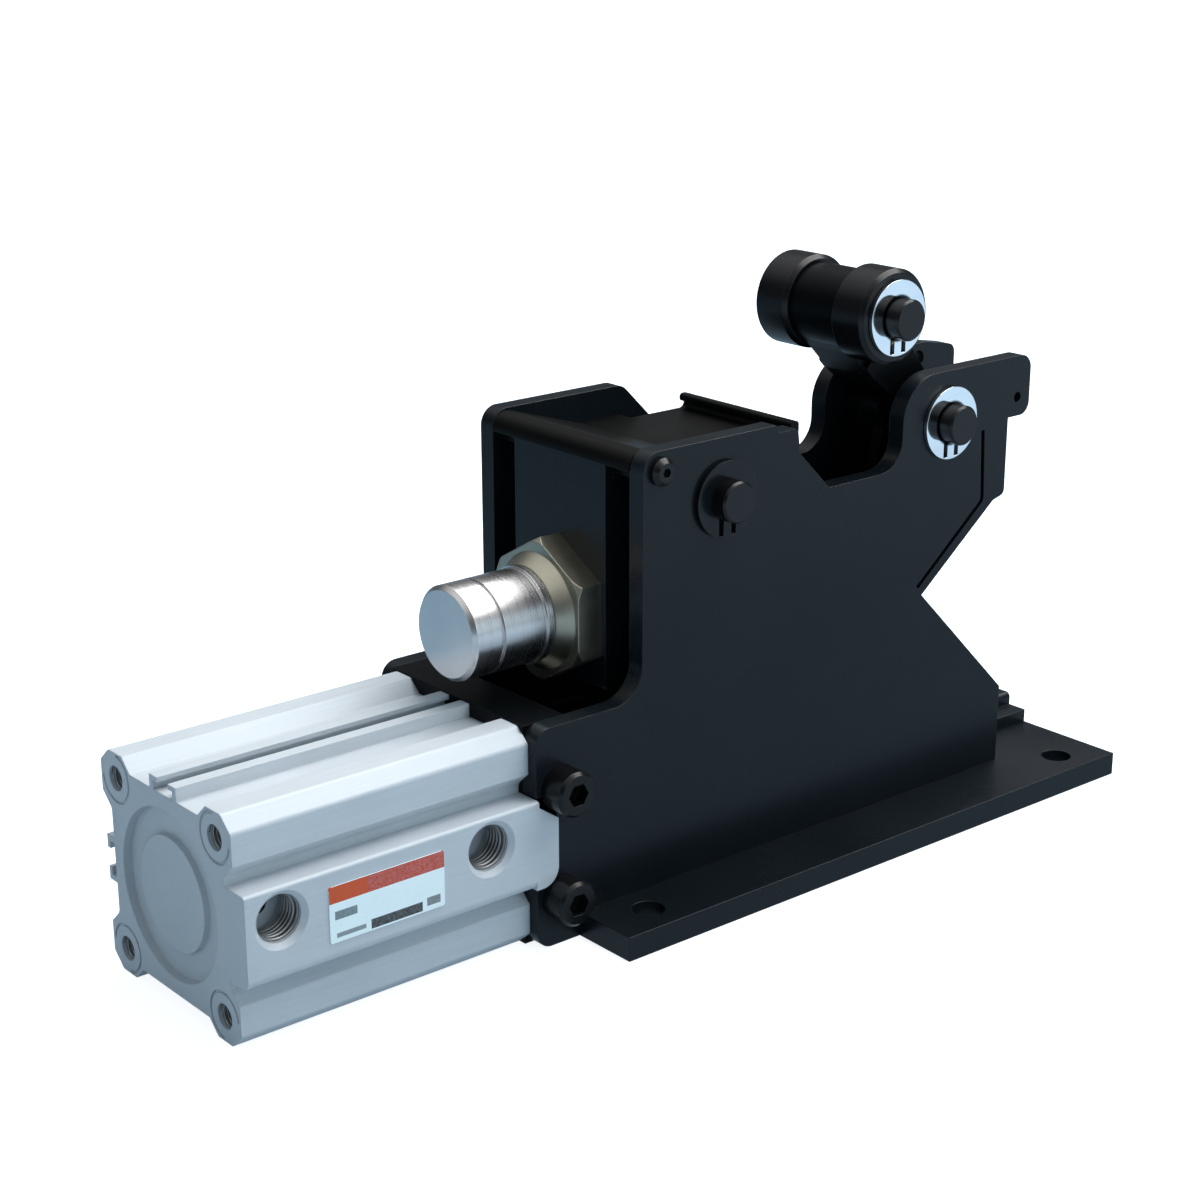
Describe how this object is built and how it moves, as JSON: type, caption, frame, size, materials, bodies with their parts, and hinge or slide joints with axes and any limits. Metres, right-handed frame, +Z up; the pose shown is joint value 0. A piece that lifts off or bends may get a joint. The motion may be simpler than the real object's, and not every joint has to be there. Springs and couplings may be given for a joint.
{
  "type": "pneumatic pallet stopper",
  "caption": "Damped pneumatic stopper: steel frame with horn plates, tilting arm with twin rollers, threaded shock absorber and compact air cylinder.",
  "frame": {"origin": "centre of the four base holes, on the underside of the base plate", "axes": "+X the way a pallet travels, from the cylinder towards the horns; +Z up; -Y out of the plate with the ports"},
  "size_m": [0.3147, 0.114, 0.1733],
  "materials": {
    "black_finish": "satin black powder coat on steel",
    "black_oxide": "black oxide on steel",
    "roller_steel": "blackened turned steel",
    "bronze": "sintered bronze",
    "bright_spring_steel": "bright stamped spring steel",
    "anodised_aluminium": "clear anodised extrusion",
    "seal_rubber": "moulded rubber",
    "polished_steel": "turned and polished steel",
    "nut_steel": "zinc-nickel plated steel",
    "button_plastic": "moulded urethane",
    "label_field": "printed film"
  },
  "bodies": {
    "frame": {"base_plate": "black_finish", "side_plate_front": "black_finish", "side_plate_rear": "black_finish", "centre_plate": "black_finish", "end_guard": "black_finish", "foot_block": "black_finish", "foot_screws": "black_oxide", "cylinder_block": "black_finish", "block_screws": "black_oxide", "cylinder_tube": "anodised_aluminium", "cylinder_bolts": "black_oxide", "rod_cover": "anodised_aluminium", "rod_bush": "bronze", "rod_wiper": "seal_rubber", "snap_ring": "black_oxide", "label_plate": "label_field", "shock_body": "polished_steel", "shock_nut": "nut_steel", "shock_holder": "black_finish", "holder_spacers": "black_oxide", "holder_pin": "black_oxide", "holder_pin_clips": "black_oxide", "cover_sheet": "black_finish", "cover_bar": "black_finish", "cover_bar_screws": "black_oxide", "main_pin": "black_oxide", "main_pin_clips": "bright_spring_steel"},
    "rocker": {"rocker": "black_finish", "crank_pin": "black_oxide"},
    "arm": {"stop_arm": "black_finish", "roller_axle": "black_oxide", "axle_clips": "bright_spring_steel"},
    "front_wheel": {"roller_front": "roller_steel", "roller_front_bush": "bronze"},
    "rear_wheel": {"roller_rear": "roller_steel", "roller_rear_bush": "bronze"},
    "lever": {"damper_lever": "black_finish"},
    "plunger": {"shock_rod": "polished_steel", "shock_button": "button_plastic"},
    "drive_rod": {"piston": "anodised_aluminium", "piston_seal": "seal_rubber", "piston_rod": "polished_steel", "crosshead": "black_finish", "crosshead_pin": "black_oxide"},
    "link": {"link": "black_finish"}
  },
  "joints": [
    {"name": "arm_drop", "type": "hinge", "parent": "frame", "child": "rocker", "pos_m": [0.0401, 0, 0.1236], "axis": [0, -1, 0], "range_deg": [0, 28]},
    {"name": "arm_tilt", "type": "hinge", "parent": "rocker", "child": "arm", "pos_m": [0.0401, 0, 0.1236], "axis": [0, 1, 0], "range_deg": [0, 12]},
    {"name": "front_wheel_spin", "type": "hinge", "parent": "arm", "child": "front_wheel", "pos_m": [0.01215, 0, 0.15938], "axis": [0, 1, 0], "continuous": true},
    {"name": "rear_wheel_spin", "type": "hinge", "parent": "arm", "child": "rear_wheel", "pos_m": [0.01215, 0, 0.15938], "axis": [0, 1, 0], "continuous": true},
    {"name": "lever_tilt", "type": "hinge", "parent": "frame", "child": "lever", "pos_m": [0.0401, 0, 0.1236], "axis": [0, 1, 0], "range_deg": [0, 12.01]},
    {"name": "plunger_slide", "type": "slide", "parent": "frame", "child": "plunger", "axis": [-1, 0, 0], "range_m": [0, 0.0094]},
    {"name": "rod_slide", "type": "slide", "parent": "frame", "child": "drive_rod", "axis": [1, 0, 0], "range_m": [0, 0.00923]},
    {"name": "link_swing", "type": "hinge", "parent": "drive_rod", "child": "link", "pos_m": [-0.06801, 0, 0.0322], "axis": [0, -1, 0], "range_deg": [-1.7, 0]}
  ],
  "couplings": [
    {"joint": "lever_tilt", "follows": "arm_tilt", "ratio": 1},
    {"joint": "plunger_slide", "follows": "arm_tilt", "m_per_rad": 0.0443},
    {"joint": "arm_drop", "follows": "rod_slide", "rad_per_m": 52.9},
    {"joint": "link_swing", "follows": "rod_slide", "rad_per_m": -3.17}
  ]
}
